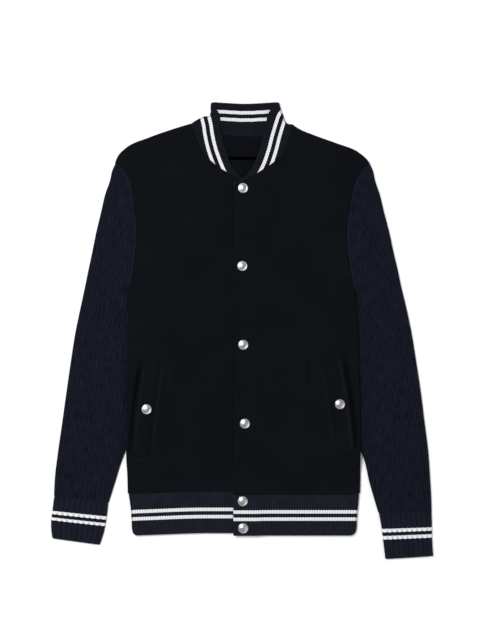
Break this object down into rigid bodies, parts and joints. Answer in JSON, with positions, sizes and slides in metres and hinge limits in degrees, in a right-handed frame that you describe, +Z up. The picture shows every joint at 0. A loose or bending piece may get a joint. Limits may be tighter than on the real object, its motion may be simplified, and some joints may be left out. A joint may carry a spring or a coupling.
{
  "type": "knit bomber jacket",
  "caption": "Black felted knit bomber jacket laid flat, with navy rib sleeves, white-striped navy collar, cuffs and hem band, a snap front and slanted welt pockets.",
  "frame": {"origin": "middle of the jacket's outline, on the surface that it lies on", "axes": "+X across the jacket towards the wearer's left sleeve, +Y from the hem towards the collar, +Z up, out of the front"},
  "size_m": [0.6156, 0.7358, 0.0175],
  "materials": {
    "body_felt": "matt felted knit, black",
    "facing_cloth": "matt cloth, black",
    "sleeve_rib": "rib knit, dark navy",
    "band_rib": "rib knit, navy with two white stripes",
    "snap_metal": "polished plain cap"
  },
  "bodies": {
    "root": {"back": "body_felt", "front_right": "body_felt", "front_left": "body_felt", "welt_right": "body_felt", "welt_left": "body_felt", "neck_facing": "facing_cloth", "sleeve_right": "sleeve_rib", "sleeve_left": "sleeve_rib", "cuff_right": "band_rib", "cuff_left": "band_rib", "hem_band": "band_rib", "collar": "band_rib", "snap_front_1": "snap_metal", "snap_front_2": "snap_metal", "snap_front_3": "snap_metal", "snap_front_4": "snap_metal", "snap_hem_1": "snap_metal", "snap_hem_2": "snap_metal", "snap_pocket_right": "snap_metal", "snap_pocket_left": "snap_metal"}
  },
  "joints": []
}
